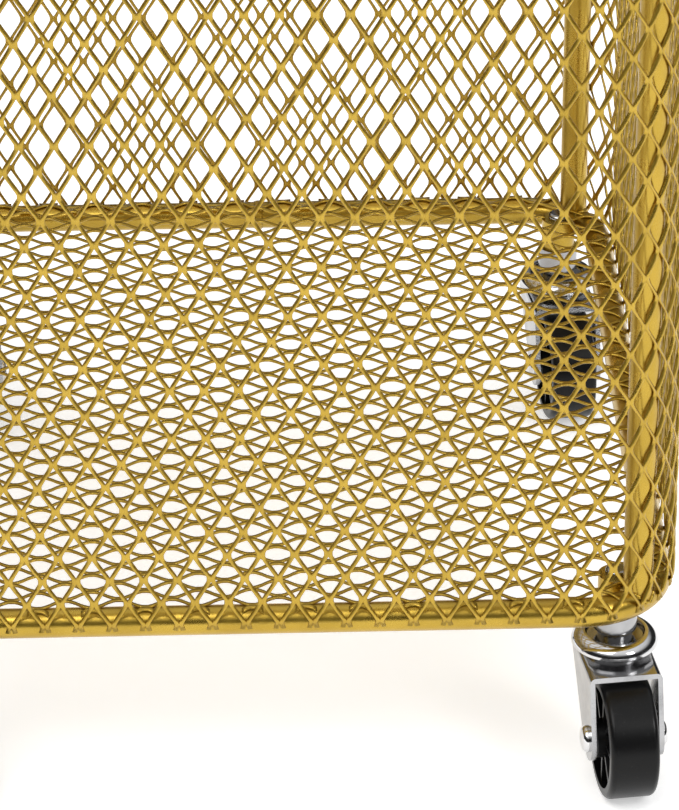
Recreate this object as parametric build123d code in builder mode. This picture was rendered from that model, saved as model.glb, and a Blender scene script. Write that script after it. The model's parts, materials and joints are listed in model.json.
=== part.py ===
from build123d import *
import os
from math import cos, pi, radians, sin

os.makedirs("parts", exist_ok=True)

# Millimetres. Origin on the floor under the middle of the bin, front towards -Y, +Z up.

# Bin
bin_width = 320.0
bin_depth = 372.0
corner_radius = 40.0
mesh_thickness = 1.2
tube_radius = 6.0
tube_wall = 1.0
butt_gap = 0.2
base_ring_z = 82.0
wall_height = 330.0
mesh_lap = 2.0
bottom_lap = 2.0
stem_hole_radius = 5.6

# Caster heads, measured in from the outside of the mesh
stem_from_side = 24.4
stem_from_end = 27.4
caster_heading = 7.0
caster_trail = 22.0
socket_radius = 7.4
socket_bore = 4.1
socket_bottom = 74.5
pin_radius = 4.0
peen_radius = 4.6
peen_top = 90.6
collar_radius = 8.8
collar_bottom = 62.6
neck_radius = 7.0
flange_radius = 11.7
flange_bottom = 57.9
flange_top = 60.0
rivet_head_radius = 7.0
rivet_head_bottom = 49.9
rivet_head_top = 51.7

# Fork, cap and balls
sheet = 2.0
fork_half_width = 14.85
fork_top = 54.0
fork_front = 24.0
fork_rear = 14.0
fork_bend_radius = 2.4
leg_end_radius = 9.0
pin_clearance = 0.08
race_outer = 14.5
race_inner = 13.0
race_top = 57.2
cap_radius = 17.6
cap_opening = 12.1
cap_bottom = 56.2
cap_shoulder = 58.2
cap_top = 61.8
cap_thickness = 1.3
ball_radius = 1.8
ball_circle = 10.5
ball_count = 15

# Wheel and axle
wheel_radius = 25.0
wheel_half_width = 10.0
tread_edge = 2.4
rim_inner = 20.5
recess_depth = 4.0
hub_radius = 8.0
hub_half_length = 12.0
rib_count = 8
rib_thickness = 1.6
rib_set_back = 1.2
sleeve_outer = 4.3
sleeve_inner = 3.0
bore_clearance = 0.06
rivet_radius = 3.0
axle_head_radius = 5.5
axle_head_height = 2.6
axle_head_round = 2.2

top_ring_z = base_ring_z + wall_height
base_top = base_ring_z + tube_radius
half_width = bin_width / 2
half_depth = bin_depth / 2
ring_inset = mesh_thickness + tube_radius
ring_x = half_width - ring_inset
ring_y = half_depth - ring_inset
ring_corner = corner_radius - ring_inset
flat_x = half_width - corner_radius
flat_y = half_depth - corner_radius
post_x = flat_x + ring_corner * cos(pi / 4)
post_y = flat_y + ring_corner * sin(pi / 4)
stem_x = half_width - stem_from_side
stem_y = half_depth - stem_from_end
mesh_bottom_z = base_ring_z - mesh_lap
mesh_height = wall_height + 2 * mesh_lap

corners = {
    "front_left": (-1, -1),
    "front_right": (1, -1),
    "rear_left": (-1, 1),
    "rear_right": (1, 1),
}


def save(part, name):
    part.label = name
    export_step(part, "parts/" + name + ".step")


def ring_path(height):
    with BuildSketch(Plane.XY.offset(height)) as outline:
        RectangleRounded(2 * ring_x, 2 * ring_y, ring_corner)
    return outline.sketch.face().outer_wire()


# Rings: round tube bent under the bin and round its rim, its ends butted at the middle
# of the rear. The cores are the same bars without a bore, and only trim what is welded on.
ring_cores = {}
for name, height in (("base_ring", base_ring_z), ("top_ring", top_ring_z)):
    path = ring_path(height)
    section = Plane(origin=path @ 0, z_dir=path % 0)
    with BuildPart() as core:
        with BuildSketch(section):
            Circle(tube_radius)
        sweep(path=path)
    ring_cores[name] = core.part

    with BuildPart() as ring:
        with BuildSketch(section):
            Circle(tube_radius)
            Circle(tube_radius - tube_wall, mode=Mode.SUBTRACT)
        sweep(path=path)
        with Locations((0, ring_y, height)):
            Box(butt_gap, 4 * tube_radius, 4 * tube_radius, mode=Mode.SUBTRACT)
    save(ring.part, name)

# Posts: round tube at each corner, coped onto both rings.
for corner, (side, end) in corners.items():
    with BuildPart() as post:
        with BuildSketch(Plane.XY.offset(base_ring_z)):
            with Locations((side * post_x, end * post_y)):
                Circle(tube_radius)
                Circle(tube_radius - tube_wall, mode=Mode.SUBTRACT)
        extrude(amount=wall_height)
        add(ring_cores["base_ring"], mode=Mode.SUBTRACT)
        add(ring_cores["top_ring"], mode=Mode.SUBTRACT)
    save(post.part, "post_" + corner)

# Wall panels: thin closed sheets with the outline of the wall mesh.
walls = {
    "wall_front": (0, -half_depth + mesh_thickness / 2, 2 * flat_x, mesh_thickness),
    "wall_rear": (0, half_depth - mesh_thickness / 2, 2 * flat_x, mesh_thickness),
    "wall_left": (-half_width + mesh_thickness / 2, 0, mesh_thickness, 2 * flat_y),
    "wall_right": (half_width - mesh_thickness / 2, 0, mesh_thickness, 2 * flat_y),
}
for name, (x, y, along_x, along_y) in walls.items():
    with BuildPart() as wall:
        with BuildSketch(Plane.XY.offset(mesh_bottom_z)):
            with Locations((x, y)):
                Rectangle(along_x, along_y)
        extrude(amount=mesh_height)
    save(wall.part, name)

for corner, (side, end) in corners.items():
    with BuildPart() as wall_corner:
        with BuildSketch(Plane.XY.offset(mesh_bottom_z)):
            with Locations((side * flat_x, end * flat_y)):
                Circle(corner_radius)
                Circle(corner_radius - mesh_thickness, mode=Mode.SUBTRACT)
            with Locations((side * (flat_x + corner_radius / 2), end * (flat_y + corner_radius / 2))):
                Rectangle(corner_radius, corner_radius, mode=Mode.INTERSECT)
        extrude(amount=mesh_height)
    save(wall_corner.part, "wall_corner_" + corner)

# Bottom panel: lies on the base ring, cut round the posts and the ends of the stems.
with BuildPart() as bottom:
    with BuildSketch(Plane.XY.offset(base_top)):
        RectangleRounded(
            2 * (ring_x + bottom_lap),
            2 * (ring_y + bottom_lap),
            ring_corner + bottom_lap,
        )
        for side, end in corners.values():
            with Locations((side * post_x, end * post_y)):
                Circle(tube_radius, mode=Mode.SUBTRACT)
            with Locations((side * stem_x, end * stem_y)):
                Circle(stem_hole_radius, mode=Mode.SUBTRACT)
    extrude(amount=mesh_thickness)
save(bottom.part, "bottom_panel")


def radius_plane(place):
    # Half section through a caster's upright axis: x is the radius, y is the height.
    return Plane(origin=place.origin, x_dir=place.x_dir, z_dir=-place.y_dir)


def side_plane(place):
    # A caster's side view: x runs backwards along the fork, y is the height.
    return Plane(origin=place.origin, x_dir=place.y_dir, z_dir=place.x_dir)


def axle_plane(place):
    # Half section of what turns on the axle: x runs along the axle, y is the radius.
    centre = place.from_local_coords((0, -caster_trail, wheel_radius))
    return Plane(origin=centre, x_dir=place.x_dir, z_dir=-place.y_dir)


for corner, (side, end) in corners.items():
    turn = radians(caster_heading)
    place = Plane(
        origin=(side * stem_x, end * stem_y, 0),
        x_dir=(cos(turn), sin(turn), 0),
        z_dir=(0, 0, 1),
    )
    upright = Axis(place.origin, (0, 0, 1))
    axle = Axis(axle_plane(place).origin, place.x_dir)

    # Socket: short upright tube welded into the ring's corner, against the post.
    with BuildPart() as socket:
        with BuildSketch(Plane.XY.offset(socket_bottom)):
            with Locations((side * stem_x, end * stem_y)):
                Circle(socket_radius)
                Circle(socket_bore, mode=Mode.SUBTRACT)
            with Locations((side * post_x, end * post_y)):
                Circle(tube_radius, mode=Mode.SUBTRACT)
        extrude(amount=base_top - socket_bottom)
        add(ring_cores["base_ring"], mode=Mode.SUBTRACT)
    save(socket.part, "socket_" + corner)

    # Stem: peened top, collar, upper race flange, king pin and its riveted foot in one.
    with BuildPart() as stem:
        with BuildSketch(radius_plane(place)):
            with BuildLine():
                Polyline(
                    (0, rivet_head_bottom),
                    (rivet_head_radius, rivet_head_bottom),
                    (rivet_head_radius, rivet_head_top),
                    (pin_radius, rivet_head_top),
                    (pin_radius, flange_bottom),
                    (flange_radius, flange_bottom),
                    (flange_radius, flange_top),
                    (neck_radius, flange_top),
                    (neck_radius, collar_bottom),
                    (collar_radius, collar_bottom),
                    (collar_radius, socket_bottom),
                    (pin_radius, socket_bottom),
                    (pin_radius, base_top),
                    (peen_radius, base_top),
                    (peen_radius, peen_top),
                    (0, peen_top),
                    close=True,
                )
            make_face()
        revolve(axis=upright)
        round_edges = stem.edges().filter_by(GeomType.CIRCLE)
        foot_edge = round_edges.group_by(Axis.Z)[0]
        fillet(foot_edge, radius=1.2)
        collar_edge = stem.edges().filter_by(GeomType.CIRCLE).filter_by(
            lambda e: abs(e.radius - collar_radius) < 0.01 and abs(e.center().Z - collar_bottom) < 0.01
        )
        fillet(collar_edge, radius=1.6)
        flange_edge = stem.edges().filter_by(GeomType.CIRCLE).filter_by(
            lambda e: abs(e.radius - flange_radius) < 0.01 and abs(e.center().Z - flange_top) < 0.01
        )
        fillet(flange_edge, radius=0.5)
        peen_edge = stem.edges().filter_by(GeomType.CIRCLE).group_by(Axis.Z)[-1]
        fillet(peen_edge, radius=1.5)
    save(stem.part, "stem_" + corner)

    # Fork: bent sheet with two tapering legs, a hole for the king pin and a race wall.
    with BuildPart() as fork:
        with BuildSketch(side_plane(place)):
            with Locations(((fork_rear - fork_front) / 2, fork_top - sheet / 2)):
                Rectangle(fork_front + fork_rear, sheet)
            with Locations((-caster_trail, wheel_radius)):
                Circle(leg_end_radius)
            make_hull()
        extrude(amount=fork_half_width, both=True)
        bends = fork.edges().filter_by(Axis(place.origin, place.y_dir))
        fillet(bends.group_by(Axis.Z)[-1], radius=fork_bend_radius)
        with BuildSketch(side_plane(place)):
            with Locations((0, (fork_top - sheet) / 2)):
                Rectangle(4 * wheel_radius, fork_top - sheet)
        extrude(amount=fork_half_width - sheet, both=True, mode=Mode.SUBTRACT)
        with BuildSketch(place.offset(fork_top)):
            Circle(race_outer)
            Circle(race_inner, mode=Mode.SUBTRACT)
        extrude(amount=race_top - fork_top)
        with BuildSketch(place.offset(fork_top)):
            Circle(pin_radius + pin_clearance)
        extrude(amount=-sheet, mode=Mode.SUBTRACT)
        with BuildSketch(side_plane(place)):
            with Locations((-caster_trail, wheel_radius)):
                Circle(rivet_radius)
        extrude(amount=fork_half_width, both=True, mode=Mode.SUBTRACT)
    save(fork.part, "fork_" + corner)

    # Cap: domed pressing swaged round the race wall, open round the stem's flange.
    with BuildPart() as cap:
        with BuildSketch(radius_plane(place)):
            with BuildLine():
                Polyline(
                    (cap_opening, cap_top - cap_thickness),
                    (cap_opening, cap_top),
                )
                ThreePointArc(
                    (cap_opening, cap_top),
                    (cap_opening + 0.68 * (cap_radius - cap_opening), cap_top - 1.0),
                    (cap_radius, cap_shoulder),
                )
                Polyline(
                    (cap_radius, cap_shoulder),
                    (cap_radius, cap_bottom + 0.8),
                    (cap_radius - 0.8, cap_bottom),
                    (race_outer, cap_bottom),
                    (race_outer, race_top + 1.6),
                    (cap_opening, cap_top - cap_thickness),
                )
            make_face()
        revolve(axis=upright)
    save(cap.part, "swivel_cap_" + corner)

    # Balls of the lower race, between the fork's plate and the stem's flange.
    with BuildPart() as balls:
        with Locations(place.offset(fork_top + ball_radius)):
            with PolarLocations(ball_circle, ball_count):
                Sphere(ball_radius)
    save(balls.part, "race_balls_" + corner)

    # Sleeve: spacer tube between the legs, on which the wheel turns.
    with BuildPart() as sleeve:
        with BuildSketch(side_plane(place)):
            with Locations((-caster_trail, wheel_radius)):
                Circle(sleeve_outer)
                Circle(sleeve_inner, mode=Mode.SUBTRACT)
        extrude(amount=fork_half_width - sheet, both=True)
    save(sleeve.part, "axle_sleeve_" + corner)

    # Axle rivet: shank with a rounded head on each leg.
    with BuildPart() as rivet:
        with BuildSketch(side_plane(place)):
            with Locations((-caster_trail, wheel_radius)):
                Circle(axle_head_radius)
        extrude(amount=fork_half_width + axle_head_height, both=True)
        fillet(rivet.edges().filter_by(GeomType.CIRCLE), radius=axle_head_round)
        with BuildSketch(side_plane(place)):
            with Locations((-caster_trail, wheel_radius)):
                Circle(axle_head_radius + 1.0)
                Circle(rivet_radius, mode=Mode.SUBTRACT)
        extrude(amount=fork_half_width, both=True, mode=Mode.SUBTRACT)
    save(rivet.part, "axle_rivet_" + corner)

    # Wheel: hard moulded tread and hub in one, recessed on both sides between ribs.
    web = wheel_half_width - recess_depth
    bore = sleeve_outer + bore_clearance
    with BuildPart() as wheel:
        with BuildSketch(axle_plane(place)):
            with BuildLine():
                Polyline(
                    (-hub_half_length, bore),
                    (hub_half_length, bore),
                    (hub_half_length, hub_radius),
                    (web, hub_radius),
                    (web, rim_inner),
                    (wheel_half_width, rim_inner),
                    (wheel_half_width, wheel_radius),
                    (-wheel_half_width, wheel_radius),
                    (-wheel_half_width, rim_inner),
                    (-web, rim_inner),
                    (-web, hub_radius),
                    (-hub_half_length, hub_radius),
                    close=True,
                )
            make_face()
        revolve(axis=axle)
        treads = wheel.edges().filter_by(GeomType.CIRCLE)
        fillet(treads.filter_by(lambda e: abs(e.radius - wheel_radius) < 0.01), radius=tread_edge)
        wheel_face = Plane(origin=axle_plane(place).origin, x_dir=place.y_dir, z_dir=place.x_dir)
        with BuildSketch(wheel_face):
            with PolarLocations((hub_radius + rim_inner) / 2, rib_count):
                Rectangle(rim_inner - hub_radius + 1.0, rib_thickness)
        extrude(amount=wheel_half_width - rib_set_back, both=True)
    save(wheel.part, "wheel_" + corner)
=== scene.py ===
import json
import math

import bpy
import numpy as np
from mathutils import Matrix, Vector

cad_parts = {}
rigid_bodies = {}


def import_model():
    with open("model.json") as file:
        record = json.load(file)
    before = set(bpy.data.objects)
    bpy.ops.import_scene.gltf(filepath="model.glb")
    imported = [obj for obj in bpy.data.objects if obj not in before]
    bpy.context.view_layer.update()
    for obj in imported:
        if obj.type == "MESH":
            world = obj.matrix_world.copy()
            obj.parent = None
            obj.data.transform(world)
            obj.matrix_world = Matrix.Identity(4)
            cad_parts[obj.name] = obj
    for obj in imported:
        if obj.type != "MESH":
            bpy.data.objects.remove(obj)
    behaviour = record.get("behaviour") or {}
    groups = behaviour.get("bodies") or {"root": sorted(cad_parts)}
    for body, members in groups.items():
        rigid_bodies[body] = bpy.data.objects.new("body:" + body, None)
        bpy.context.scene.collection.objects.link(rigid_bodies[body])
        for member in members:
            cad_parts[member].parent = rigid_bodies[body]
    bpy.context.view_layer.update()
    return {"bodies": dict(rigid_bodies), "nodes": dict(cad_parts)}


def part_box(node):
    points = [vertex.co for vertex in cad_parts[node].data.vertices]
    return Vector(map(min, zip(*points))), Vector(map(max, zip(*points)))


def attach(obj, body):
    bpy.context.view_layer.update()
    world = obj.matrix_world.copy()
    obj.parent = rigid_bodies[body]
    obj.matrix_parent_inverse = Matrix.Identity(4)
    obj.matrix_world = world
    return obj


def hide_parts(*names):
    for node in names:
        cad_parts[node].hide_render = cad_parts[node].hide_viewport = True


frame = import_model()
print("frame loaded:", len(frame["nodes"]), "nodes")

cornerNames = {
    "front_left": (-1, -1),
    "front_right": (1, -1),
    "rear_left": (-1, 1),
    "rear_right": (1, 1),
}


def middle(node):
    low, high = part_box(node)
    return (low + high) / 2


def readBin():
    # the sizes that the pieces below share, read from the frame
    ringLow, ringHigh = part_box("base_ring")
    frontLow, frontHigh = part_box("wall_front")
    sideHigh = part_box("wall_right")[1]
    tube = (ringHigh.z - ringLow.z) / 2
    return {
        "tube": tube,
        "halfWidth": sideHigh.x,
        "halfDepth": -frontLow.y,
        "flatX": frontHigh.x,
        "flatY": sideHigh.y,
        "corner": sideHigh.x - frontHigh.x,
        "sheet": frontHigh.y - frontLow.y,
        "ringX": ringHigh.x - tube,
        "ringY": ringHigh.y - tube,
        "baseZ": middle("base_ring").z,
        "rimZ": middle("top_ring").z,
    }


binSize = readBin()


# ---- nodes of a material ----


class Amount:
    # a number socket that can be used in plain arithmetic, one Math node per operator
    def __init__(self, paint, socket):
        self.paint = paint
        self.socket = socket

    def maths(self, operation, first, second=0.0):
        return self.paint.make("ShaderNodeMath", {"operation": operation}, {0: first, 1: second})

    def __add__(self, other):
        return self.maths("ADD", self, other)

    def __radd__(self, other):
        return self.maths("ADD", other, self)

    def __sub__(self, other):
        return self.maths("SUBTRACT", self, other)

    def __rsub__(self, other):
        return self.maths("SUBTRACT", other, self)

    def __mul__(self, other):
        return self.maths("MULTIPLY", self, other)

    def __rmul__(self, other):
        return self.maths("MULTIPLY", other, self)

    def between(self, low, high):
        # 0 below low, 1 above high, smooth in between
        spread = {"interpolation_type": "SMOOTHSTEP"}
        return self.paint.make("ShaderNodeMapRange", spread, {0: self, 1: low, 2: high})


class Paint:
    def __init__(self, name):
        self.material = bpy.data.materials.new(name)
        self.material.use_nodes = True
        self.tree = self.material.node_tree
        self.shader = self.tree.nodes["Principled BSDF"]
        self.place = self.make("ShaderNodeTexCoord", {}, {}, "Object")

    def feed(self, socket, value):
        if isinstance(value, Amount):
            self.tree.links.new(value.socket, socket)
        else:
            socket.default_value = value

    def make(self, kind, settings, values, output=0):
        node = self.tree.nodes.new(kind)
        for key, value in settings.items():
            if key == "stops":
                ramp = node.color_ramp.elements
                while len(ramp) < len(value):
                    ramp.new(0.5)
                for element, (spot, colour) in zip(ramp, value):
                    element.position = spot
                    element.color = colour
            else:
                setattr(node, key, value)
        for key, value in values.items():
            self.feed(node.inputs[key], value)
        return Amount(self, node.outputs[output])

    def noise(self, scale, detail=2.0, rough=0.5, place=None):
        spots = {"Vector": place or self.place, "Scale": scale, "Detail": detail, "Roughness": rough}
        return self.make("ShaderNodeTexNoise", {}, spots, "Fac")

    def mix(self, amount, first, second):
        colours = {"Factor": amount, 6: first, 7: second}
        return self.make("ShaderNodeMix", {"data_type": "RGBA"}, colours, 2)

    def bump(self, height, strength, distance):
        relief = {"Height": height, "Strength": strength, "Distance": distance}
        return self.make("ShaderNodeBump", {}, relief)

    def set(self, **sockets):
        for name, value in sockets.items():
            self.feed(self.shader.inputs[name.replace("_", " ")], value)
        return self.material


goldFinish = {
    "colour": (0.49, 0.322, 0.042, 1),
    "shade": (0.33, 0.205, 0.018, 1),
    "flake": (0.76, 0.57, 0.16, 1),
    "metallic": 0.9,
    "roughness": 0.31,
}


def goldPaint(name, finish, orangePeel):
    # metallic spray paint: fine flake, slow drifts of tone and a slight orange peel
    paint = Paint(name)
    drift = paint.noise(38.0, 3.0).between(0.3, 0.75)
    flake = paint.noise(5200.0, 1.0).between(0.56, 0.72)
    peel = paint.noise(620.0, 3.0, 0.6)
    tone = paint.mix(drift * 0.55, finish["colour"], finish["shade"])
    tone = paint.mix(flake * 0.4, tone, finish["flake"])
    rough = finish["roughness"] - 0.06 + 0.09 * drift + 0.05 * flake
    return paint.set(
        Base_Color=tone,
        Metallic=finish["metallic"],
        Roughness=rough,
        Normal=paint.bump(peel, orangePeel, 0.0002),
        Coat_Weight=0.15,
        Coat_Roughness=0.12,
    )


def chromePlate():
    # bright plate over pressed steel: faint ripple from the press, dust in spots
    paint = Paint("chromePlate")
    ripple = paint.noise(140.0, 2.0)
    smear = paint.noise(60.0, 4.0, 0.6).between(0.45, 0.8)
    speck = paint.noise(1500.0, 2.0).between(0.66, 0.74)
    tone = paint.mix(smear * 0.5, (0.64, 0.64, 0.645, 1), (0.50, 0.50, 0.51, 1))
    return paint.set(
        Base_Color=paint.mix(speck * 0.3, tone, (0.36, 0.355, 0.35, 1)),
        Metallic=1.0,
        Roughness=0.09 + 0.08 * smear + 0.1 * speck,
        Normal=paint.bump(ripple, 0.12, 0.0006),
    )


def satinPlate():
    # duller plate on the fork and stem: the steel's grain shows as a fine cloudy satin
    paint = Paint("satinPlate")
    grain = paint.noise(1300.0, 3.0, 0.6)
    cloud = paint.noise(75.0, 3.0).between(0.3, 0.75)
    return paint.set(
        Base_Color=paint.mix(cloud * 0.7, (0.42, 0.42, 0.425, 1), (0.29, 0.29, 0.295, 1)),
        Metallic=1.0,
        Roughness=0.1 + 0.08 * cloud,
        Normal=paint.bump(grain, 0.12, 0.0002),
    )


def turnedSteel():
    # plain turned steel: noise squeezed in height into fine lines
    paint = Paint("turnedSteel")
    squeeze = {"Vector": paint.place, "Scale": (1.0, 1.0, 14.0)}
    stretch = paint.make("ShaderNodeMapping", {}, squeeze)
    lines = paint.noise(420.0, 2.0, 0.5, stretch)
    return paint.set(
        Base_Color=paint.mix(lines * 0.5, (0.66, 0.66, 0.67, 1), (0.48, 0.48, 0.49, 1)),
        Metallic=1.0,
        Roughness=0.18 + 0.16 * lines,
        Normal=paint.bump(lines, 0.1, 0.0002),
    )


def mouldedBlack():
    # hard black wheel: satin skin with fine scuffs and a little grey dust
    paint = Paint("mouldedBlack")
    grain = paint.noise(2600.0, 2.0)
    dust = paint.noise(90.0, 4.0, 0.65).between(0.5, 0.85)
    scuff = paint.noise(700.0, 4.0, 0.7).between(0.6, 0.72)
    tone = paint.mix(dust * 0.35, (0.005, 0.005, 0.0052, 1), (0.014, 0.0137, 0.0133, 1))
    return paint.set(
        Base_Color=paint.mix(scuff * 0.4, tone, (0.026, 0.026, 0.026, 1)),
        Roughness=0.29 + 0.12 * dust + 0.08 * scuff,
        Normal=paint.bump(grain + 0.6 * scuff, 0.12, 0.0002),
        Specular_IOR_Level=0.18,
    )


finishes = {
    "frame": goldPaint("goldTube", goldFinish, 0.4),
    "mesh": goldPaint("goldMesh", goldFinish, 0.3),
    "chrome": chromePlate(),
    "satin": satinPlate(),
    "steel": turnedSteel(),
    "wheel": mouldedBlack(),
}
nodeFinish = {
    "base_ring": "frame",
    "top_ring": "frame",
    "post": "frame",
    "socket": "frame",
    "stem": "satin",
    "fork": "satin",
    "swivel_cap": "chrome",
    "axle_rivet": "chrome",
    "race_balls": "steel",
    "axle_sleeve": "steel",
    "wheel": "wheel",
}
for nodeName, nodeObject in frame["nodes"].items():
    for start in sorted(nodeFinish, key=len, reverse=True):
        if nodeName.startswith(start):
            nodeObject.data.materials.clear()
            nodeObject.data.materials.append(finishes[nodeFinish[start]])
            break
print("materials made:", len(finishes))


# ---- new pieces ----


def addPiece(name, points, faces, finish, body):
    # points: array (n, 3); faces: list of arrays, each with the same number of sides
    mesh = bpy.data.meshes.new(name)
    counts = np.concatenate([np.full(len(f), f.shape[1]) for f in faces if len(f)])
    corners = np.concatenate([f.ravel() for f in faces if len(f)])
    mesh.vertices.add(len(points))
    mesh.vertices.foreach_set("co", np.asarray(points, np.float32).ravel())
    mesh.loops.add(len(corners))
    mesh.loops.foreach_set("vertex_index", corners.astype(np.int32))
    mesh.polygons.add(len(counts))
    starts = np.concatenate([[0], np.cumsum(counts)[:-1]])
    mesh.polygons.foreach_set("loop_start", starts.astype(np.int32))
    mesh.polygons.foreach_set("use_smooth", np.ones(len(counts), bool))
    mesh.update(calc_edges=True)
    mesh.validate()
    piece = bpy.data.objects.new(name, mesh)
    bpy.context.scene.collection.objects.link(piece)
    piece.data.materials.append(finishes[finish])
    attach(piece, body)
    return piece


# the frame body is the one that no joint turns
rootBody = next(b for b in frame["bodies"] if "swivel" not in b and "roller" not in b)

wallMesh = {
    "across": 0.0133,  # opening centre to centre, short way
    "along": 0.0212,  # opening centre to centre, long way
    "strand": 0.0020,  # width of one strand in the sheet
    "thick": 0.0009,
    "tilt": 0.0,  # degrees that a bonded strand is turned out of the sheet
    "twist": 36.0,  # degrees more that it is turned half way between bonds
    "bond": 0.08,  # share of a half opening where two strands run together
    "merge": 0.28,  # share of its half width that a bonded strand shares with the next
    "ease": 0.1,  # how rounded the bends beside a bond are, 0 to 1
    "stops": (0.0, 0.08, 0.2, 0.4, 0.6, 0.8, 0.92),  # samples along half an opening
    "lean": 0.02,  # sideways drift of the mesh with height
    "lift": 0.0015,  # first bond above the middle of the base ring
    "foot": 0.0024,  # how far the strands run on past their last bond
    "seat": 0.0006,  # how deep a strand's end is melted into the ring
}
bottomMesh = {
    "across": 0.0133,
    "along": 0.0212,
    "strand": 0.0022,
    "thick": 0.0009,
    "tilt": -4.0,
    "twist": 0.0,
    "bond": 0.10,
    "merge": 0.28,
    "ease": 0.4,
    "stops": (0.0, 0.1, 0.22, 0.4, 0.6, 0.78, 0.9),
    "stemHole": 0.0056,  # radius kept free round a stem
    "lap": 0.62,  # how far the mesh laps the base ring, as a share of the tube's radius
    "roll": 0.95,  # share of the tube's radius that the lap may roll down over
    "spill": 12,  # a strand may pass the edge by one part in this many of an opening
}


def strandSwing(phase, size):
    # -1 to 1 sideways place of a strand: flat while it is bonded, a diagonal between bonds
    ramp = np.abs((phase % 2.0) - 1.0)
    ramp = np.clip((ramp - size["bond"]) / (1 - 2 * size["bond"]), 0, 1)
    eased = ramp - size["ease"] * np.sin(2 * np.pi * ramp) / (2 * np.pi)
    return 1 - 2 * eased


def strandSection(size):
    # closed outline of one strand: a flat bar with its four edges rubbed round
    w = size["strand"] / 2
    t = size["thick"] / 2
    near, far = 0.45 * t, 0.7 * w  # where the rubbed edge starts
    return np.array(
        [(-w, -near), (-far, -t), (far, -t), (w, -near), (w, near), (far, t), (-far, t), (-w, near)]
    )


def strandTravel(halves, size):
    # samples along a strand, closer together beside the bonds; halves: whole numbers
    spots = halves[:-1, None] + np.array(size["stops"])
    return np.append(spots.ravel(), halves[-1]) * size["along"] / 2


def strandSheet(lineNumbers, travel, size):
    # every strand of a sheet at once: sideways place, depth and travel on a grid of
    # (strand, sample, outline point); neighbouring strands swing against each other and
    # meet where they are bonded, and between bonds each turns about its own length
    section = strandSection(size)
    a = math.radians(size["tilt"])
    half = size["strand"] / 2
    phase = travel / (size["along"] / 2)
    swing = strandSwing(phase[None, :] + (lineNumbers[:, None] % 2), size)
    slope = np.gradient(swing, phase, axis=1)
    turn = a + math.radians(size["twist"]) * slope / np.abs(slope).max()
    reach = size["across"] / 4 - half * (1 - size["merge"]) * math.cos(a)
    side = (lineNumbers[:, None] + 0.5) * size["across"] / 2 + swing * reach
    depth = -swing * half * math.sin(a)
    cos, sin = np.cos(turn)[..., None], np.sin(turn)[..., None]
    across = side[..., None] + section[:, 0] * cos - section[:, 1] * sin
    out = depth[..., None] + section[:, 0] * sin + section[:, 1] * cos
    along = np.broadcast_to(travel[None, :, None], across.shape)
    return across, out, along


def barFaces(keep, outline):
    # quads between neighbouring rings of points where both are kept, and the end caps;
    # keep: (strand, sample)
    count, samples = keep.shape
    ring = np.arange(outline)
    nextRing = (ring + 1) % outline
    base = (np.arange(count)[:, None] * samples + np.arange(samples)[None, :]) * outline
    joined = keep[:, :-1] & keep[:, 1:]
    here = base[:, :-1][joined][:, None]
    there = base[:, 1:][joined][:, None]
    quads = np.stack([here + ring, here + nextRing, there + nextRing, there + ring], axis=-1)
    edged = np.pad(keep, ((0, 0), (1, 1)))
    first = base[keep & ~edged[:, :-2] & edged[:, 2:]]
    last = base[keep & ~edged[:, 2:] & edged[:, :-2]]
    heads = first[:, None] + ring[::-1]
    tails = last[:, None] + ring
    return quads.reshape(-1, 4), heads, tails


def addBars(name, points, keep, flip):
    # drops the rings that nothing uses and adds the rest as one piece; flip turns the
    # faces over where the sheet's own directions would leave them facing inward
    outline = points.shape[2]
    quads, heads, tails = barFaces(keep, outline)
    faces = [quads, heads, tails]
    if flip:
        faces = [f[:, ::-1] for f in faces]
    used = np.unique(np.concatenate([f.ravel() for f in faces]))
    order = np.zeros(points.shape[0] * points.shape[1] * outline, np.int64)
    order[used] = np.arange(len(used))
    return addPiece(name, points.reshape(-1, 3)[used], [order[f] for f in faces], "mesh", rootBody)


def wallRuns():
    # the lengths of the wall's outline from the middle of the front: straight and corner
    # by turns, and half of the front again at the end
    b = binSize
    turn = (b["corner"] - b["sheet"] / 2) * math.pi / 2
    wide, deep = 2 * b["flatX"], 2 * b["flatY"]
    return [b["flatX"], turn, deep, turn, wide, turn, deep, turn, b["flatX"]]


def aroundBin(distance, outward):
    # the wall's outline as a path: distance runs right from the middle of the front,
    # round the rounded corners and back; outward moves a point off the path
    b = binSize
    r = b["corner"] - b["sheet"] / 2
    runs = wallRuns()[:-1]
    d = distance % (sum(runs) + b["flatX"])
    starts = np.concatenate([[0], np.cumsum(runs)])
    side = np.clip(np.searchsorted(starts, d, side="right") - 1, 0, 8)
    local = d - starts[side]
    turning = side % 2 == 1
    quarter = (side + 1) // 2
    square = math.pi / 2
    angle = np.where(turning, (quarter - 1) * square + local / r, quarter * square) - square
    centres = np.array([(1, -1), (1, 1), (-1, 1), (-1, -1)]) * np.array([b["flatX"], b["flatY"]])
    ends = np.array([(0, -1), (1, -1), (1, 1), (-1, 1), (-1, -1)]) * np.array([b["flatX"], b["flatY"]])
    normal = np.stack([np.cos(angle), np.sin(angle)], -1)
    forward = np.stack([-np.sin(angle), np.cos(angle)], -1)
    straight = ends[np.clip(quarter, 0, 4)] + forward * local[..., None]
    bent = centres[np.clip(quarter - 1, 0, 3)]
    core = np.where(turning[..., None], bent, straight)
    return core + normal * (r + outward)[..., None]


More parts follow.
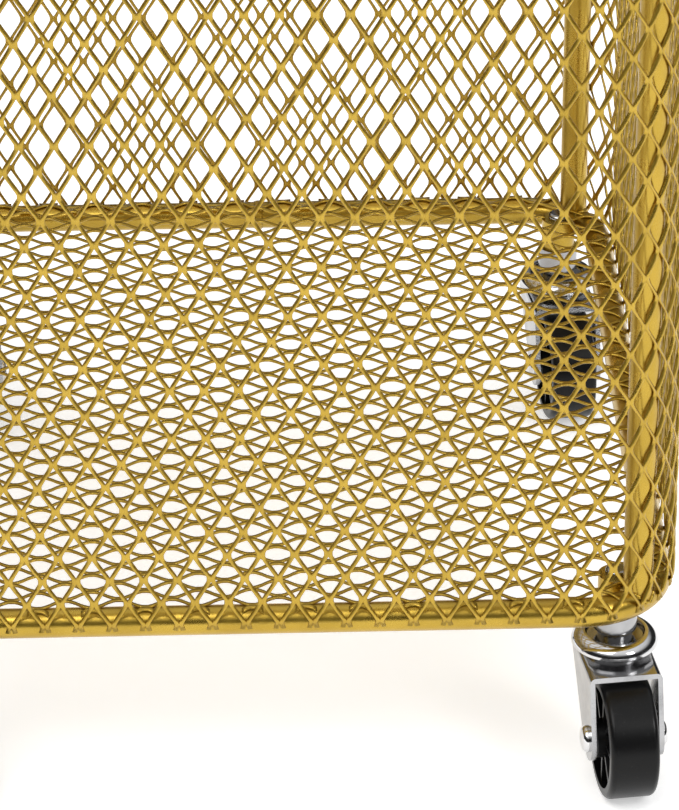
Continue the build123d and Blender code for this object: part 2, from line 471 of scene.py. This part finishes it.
def meshWalls():
    # the wall mesh: one run of strands round the bin, cut into the frame's own panels
    b = binSize
    size = dict(wallMesh)
    runs = wallRuns()
    total = sum(runs[:-1]) + runs[-1]
    columns = round(total / size["across"])
    size["across"] = total / columns
    start = b["baseZ"] + size["lift"]
    rise = b["rimZ"] - size["lift"] - start
    rows = round(2 * rise / size["along"])
    size["along"] = 2 * rise / rows
    inner = strandTravel(np.arange(rows + 1), size)
    travel = np.concatenate([[-size["foot"]], inner, [inner[-1] + size["foot"]]])
    lines = np.arange(2 * columns)
    across, out, along = strandSheet(lines, travel, size)
    shifted = across - size["lean"] * along
    ended = (along <= inner[0]) | (along >= inner[-1])
    plan = aroundBin(shifted, out - size["seat"] * ended)
    points = np.concatenate([plan, (along + start)[..., None]], -1)
    marks = np.cumsum(runs)
    names = [
        "wall_front",
        "wall_corner_front_right",
        "wall_right",
        "wall_corner_rear_right",
        "wall_rear",
        "wall_corner_rear_left",
        "wall_left",
        "wall_corner_front_left",
        "wall_front",
    ]
    part = np.searchsorted(marks, (lines + 0.5) * size["across"] / 2, side="right")
    for panel in dict.fromkeys(names):
        mine = np.isin(part, [i for i, n in enumerate(names) if n == panel])
        keep = np.ones((mine.sum(), len(travel)), bool)
        piece = addBars("mesh_" + panel, points[mine], keep, flip=True)
        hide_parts(panel)
    print("wall mesh:", columns, "columns,", rows, "half rows")


def meshBottom():
    # the bottom mesh: strands from side to side, laid on the base ring and turned down
    # over it where they end
    b = binSize
    size = bottomMesh
    lap = size["lap"] * b["tube"]
    halfRows = int((b["ringY"] + lap) / (size["across"] / 2)) + 1
    lines = np.arange(-halfRows, halfRows)
    halves = int((b["ringX"] + lap) / (size["along"] / 2)) + 1
    travel = strandTravel(np.arange(-halves, halves + 1), size)
    across, out, along = strandSheet(lines, travel, size)
    cornerR = b["ringX"] - b["flatX"]
    boxX, boxY = b["ringX"] - cornerR, b["ringY"] - cornerR
    middleY = across.mean(-1)
    overY = np.clip(np.abs(middleY) - boxY, 0, cornerR + lap)
    limit = boxX + np.sqrt(np.clip((cornerR + lap) ** 2 - overY**2, 0, None))
    x = np.clip(along, -limit[..., None], limit[..., None])
    inside = np.abs(middleY) < b["ringY"] + lap
    for corner in cornerNames:
        stem = middle("stem_" + corner)
        inside = inside & (np.hypot(travel[None, :] - stem.x, middleY - stem.y) > size["stemHole"])
    keep = inside & (np.abs(travel)[None, :] < limit + size["along"] / size["spill"])
    overX = np.clip(np.abs(x) - boxX, 0, None)
    away = np.hypot(overX, np.clip(np.abs(across) - boxY, 0, None)) - cornerR
    rolled = np.clip(away, 0, b["tube"] * size["roll"])
    drop = b["tube"] - np.sqrt(np.clip(b["tube"] ** 2 - rolled**2, 0, None))
    z = b["baseZ"] + b["tube"] + b["sheet"] / 2 + out - drop
    points = np.stack([x, across, z], -1)
    piece = addBars("mesh_bottom", points, keep, flip=False)
    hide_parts("bottom_panel")
    print("bottom mesh:", len(lines), "strands")


meshWalls()
meshBottom()


# ---- welds ----

weldSize = {
    "bead": 0.0010,  # radius of the bead where a post stands on a ring
    "coverWide": 0.0019,  # half width of the bead over a ring's butt joint
    "coverHigh": 0.0006,
    "ripple": 0.10,  # share of the bead that its ripples take
    "ripples": 22,
    "samples": 132,  # along the bead
    "sides": 8,  # round the bead
}


def addBead(name, spine, away, high, wide):
    # an oval carried round a closed curve: point = curve + ripple * (high * cos * away
    # + wide * sin * across), where across is square to the curve and to away
    count, sides = len(spine), weldSize["sides"]
    ahead = np.roll(spine, -1, axis=0) - np.roll(spine, 1, axis=0)
    across = np.cross(ahead, away)
    across /= np.linalg.norm(across, axis=1, keepdims=True)
    up = np.cross(across, ahead)
    up /= np.linalg.norm(up, axis=1, keepdims=True)
    turn = np.linspace(0, 2 * np.pi, sides, endpoint=False)[None, :, None]
    trip = np.linspace(0, 2 * np.pi, count, endpoint=False)[:, None, None]
    ripple = 1 + weldSize["ripple"] * np.sin(weldSize["ripples"] * trip)
    oval = high * np.cos(turn) * up[:, None] + wide * np.sin(turn) * across[:, None]
    points = (spine[:, None] + ripple * oval).reshape(-1, 3)
    i, j = np.meshgrid(np.arange(count), np.arange(sides), indexing="ij")
    here, there = i * sides, (i + 1) % count * sides
    nextSide = (j + 1) % sides
    quads = np.stack([here + j, here + nextSide, there + nextSide, there + j], axis=-1)
    addPiece(name, points, [quads.reshape(-1, 4)], "frame", rootBody)


def weldFrame():
    # beads on the saddle curves of the posts, height = sqrt(tube^2 - side^2), and a
    # bead round the tube over each ring's butt joint
    b = binSize
    trip = np.linspace(0, 2 * np.pi, weldSize["samples"], endpoint=False)
    cos, sin = np.cos(trip)[:, None], np.sin(trip)[:, None]
    rise = np.sqrt((b["tube"] * cos) ** 2 + weldSize["bead"] ** 2)
    upright = np.array([0.0, 0.0, 1.0])
    for ring, z, sign in (("base", b["baseZ"], 1), ("top", b["rimZ"], -1)):
        for corner, (side, end) in cornerNames.items():
            post = np.array(middle("post_" + corner))
            post[2] = z
            radial = post - np.array([side * b["flatX"], end * b["flatY"], z])
            radial /= np.linalg.norm(radial)
            around = cos * np.cross(upright, radial) + sin * radial
            spine = post + b["tube"] * around + sign * rise * upright
            away = around + sign * upright
            addBead("weld_" + ring + "_" + corner, spine, away, weldSize["bead"], weldSize["bead"])
        around = cos * np.array([0.0, 1.0, 0.0]) + sin * upright
        spine = np.array([0.0, b["ringY"], z]) + b["tube"] * around
        addBead("weld_" + ring + "_butt", spine, around, weldSize["coverHigh"], weldSize["coverWide"])
    print("welds made")


weldFrame()


# ---- floor, light and camera ----

studio = {
    "sky": ((0.0, 0.12), (0.03, 0.02), (0.42, 0.03), (0.66, 0.8), (1.0, 1.1)),  # height, grey
    "floor": 14.0,
    "floorGrey": 0.88,
    "floorGlow": 0.5,
    "keyPlace": (-0.9, -1.5, 2.6),
    "keySize": (1.8, 1.4),
    "keyPower": 34.0,
    "fillPlace": (1.5, -1.5, 1.7),
    "fillSize": (0.6, 0.7),
    "fillPower": 16.0,
    "aim": (0, 0, 0.2),  # what both lamps point at
    "lens": 233.6,
    "distance": 1.781,  # level distance from the front of the bin
    "height": 1.074,  # above the base ring
    "pitch": 28.66,  # degrees down
    "yaw": 2.12,  # degrees to the right
    "side": -0.0423,  # from the middle of the bin
}


def addFloor():
    half = studio["floor"] / 2
    spots = np.array([(-half, -half, 0), (half, -half, 0), (half, half, 0), (-half, half, 0)])
    mesh = bpy.data.meshes.new("floor")
    mesh.from_pydata(spots.tolist(), [], [(0, 1, 2, 3)])
    floor = bpy.data.objects.new("floor", mesh)
    bpy.context.scene.collection.objects.link(floor)
    paint = Paint("floorPaper")
    mesh.materials.append(
        paint.set(
            Base_Color=(studio["floorGrey"],) * 3 + (1,),
            Roughness=1.0,
            Specular_IOR_Level=0.0,
            Emission_Color=(1, 1, 1, 1),
            Emission_Strength=studio["floorGlow"],
        )
    )


def addLight(name):
    place = Vector(studio[name + "Place"])
    lamp = bpy.data.lights.new(name, "AREA")
    lamp.shape = "RECTANGLE"
    lamp.size, lamp.size_y = studio[name + "Size"]
    lamp.energy = studio[name + "Power"]
    light = bpy.data.objects.new(name, lamp)
    light.location = place
    light.rotation_euler = (Vector(studio["aim"]) - place).to_track_quat("-Z", "Y").to_euler()
    bpy.context.scene.collection.objects.link(light)


def addWorld():
    # white to the camera; the metal mirrors a sky that is dark from the horizon to about
    # 25 degrees up and bright overhead
    world = bpy.data.worlds.new("studio")
    bpy.context.scene.world = world
    world.use_nodes = True
    nodes, links = world.node_tree.nodes, world.node_tree.links
    place = nodes.new("ShaderNodeTexCoord")
    axes = nodes.new("ShaderNodeSeparateXYZ")
    links.new(place.outputs["Generated"], axes.inputs[0])
    band = nodes.new("ShaderNodeValToRGB")
    links.new(axes.outputs["Z"], band.inputs[0])
    ramp = band.color_ramp.elements
    while len(ramp) < len(studio["sky"]):
        ramp.new(0.5)
    for element, (spot, grey) in zip(ramp, studio["sky"]):
        element.position = spot
        element.color = (grey, grey, grey, 1)
    seen = nodes.new("ShaderNodeLightPath")
    pick = nodes.new("ShaderNodeMix")
    pick.data_type = "RGBA"
    links.new(seen.outputs["Is Camera Ray"], pick.inputs["Factor"])
    links.new(band.outputs[0], pick.inputs[6])
    pick.inputs[7].default_value = (1, 1, 1, 1)
    links.new(pick.outputs[2], nodes["Background"].inputs["Color"])
    nodes["Background"].inputs["Strength"].default_value = 1.0


def addCamera():
    b = binSize
    data = bpy.data.cameras.new("camera")
    data.lens = studio["lens"]
    data.sensor_width = 36.0
    data.clip_end = 50.0
    camera = bpy.data.objects.new("camera", data)
    back = -b["halfDepth"] - studio["distance"]
    camera.location = (studio["side"], back, b["baseZ"] + studio["height"])
    pitch, yaw = math.radians(studio["pitch"]), math.radians(studio["yaw"])
    level = math.cos(pitch)
    look = Vector((math.sin(yaw) * level, math.cos(yaw) * level, -math.sin(pitch)))
    camera.rotation_euler = look.to_track_quat("-Z", "Y").to_euler()
    bpy.context.scene.collection.objects.link(camera)
    bpy.context.scene.camera = camera


addFloor()
addLight("key")
addLight("fill")
addWorld()
addCamera()
bpy.context.scene.view_settings.view_transform = "Standard"
print("studio set")
